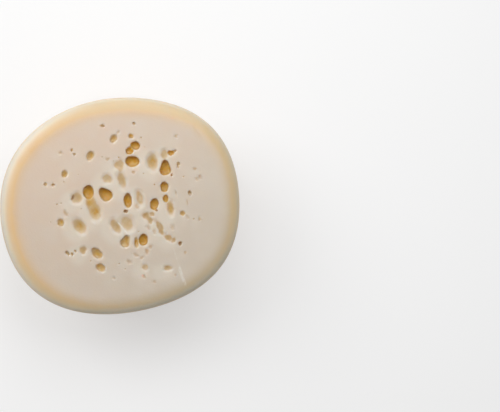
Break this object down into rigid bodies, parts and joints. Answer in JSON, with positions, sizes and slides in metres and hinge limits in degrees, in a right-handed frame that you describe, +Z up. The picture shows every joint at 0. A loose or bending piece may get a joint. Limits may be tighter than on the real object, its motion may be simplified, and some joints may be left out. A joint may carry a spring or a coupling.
{
  "type": "half of a round pasta filata cheese",
  "caption": "Half of a ball-shaped stretched-curd cheese, cut through the middle and laid on its smooth waxy back, with round and oval eyes in the flat cut face and a yellow edge.",
  "frame": {"origin": "centre of the small flat spot on the rounded back that the half rests on", "axes": "+Z up, out of the cut face; +X along the cut face's long way; +Y across it, towards the top of the face as it is pictured"},
  "size_m": [0.1328, 0.1207, 0.061],
  "materials": {
    "cheese": "soft satin paste, slightly waxy tan skin"
  },
  "bodies": {
    "root": {"cheese_half": "cheese"}
  },
  "joints": []
}
